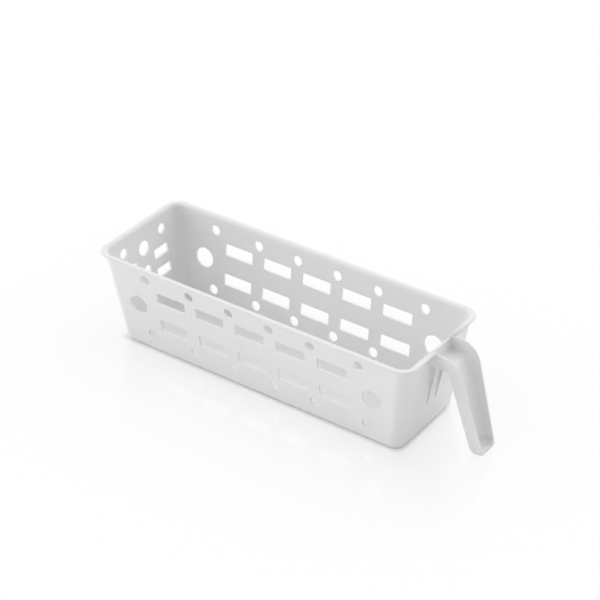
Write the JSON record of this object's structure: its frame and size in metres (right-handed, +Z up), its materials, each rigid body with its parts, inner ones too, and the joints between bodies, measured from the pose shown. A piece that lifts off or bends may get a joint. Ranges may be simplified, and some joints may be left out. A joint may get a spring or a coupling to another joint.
{
  "type": "handled caddy",
  "caption": "Long open caddy with tapered walls pierced by slots and round holes, a rolled rim and a drooping channel handle at one end, to pull stored goods off a shelf.",
  "frame": {"origin": "middle of the tub's flat underside, on the surface it stands on", "axes": "+X along the tub towards the handle, +Y across the tub towards the wall that the picture shows from inside, +Z up"},
  "size_m": [0.3503, 0.1068, 0.0861],
  "materials": {
    "plastic": "pale satin moulding"
  },
  "bodies": {
    "root": {"floor_pan": "plastic", "front_wall": "plastic", "back_wall": "plastic", "plain_end_wall": "plastic", "handle_end_wall": "plastic", "front_plain_corner": "plastic", "back_plain_corner": "plastic", "front_handle_corner": "plastic", "back_handle_corner": "plastic", "rim": "plastic", "handle_end_rim": "plastic", "handle_front_flange": "plastic", "handle_back_flange": "plastic", "handle_web": "plastic", "front_gusset": "plastic", "back_gusset": "plastic"}
  },
  "joints": []
}
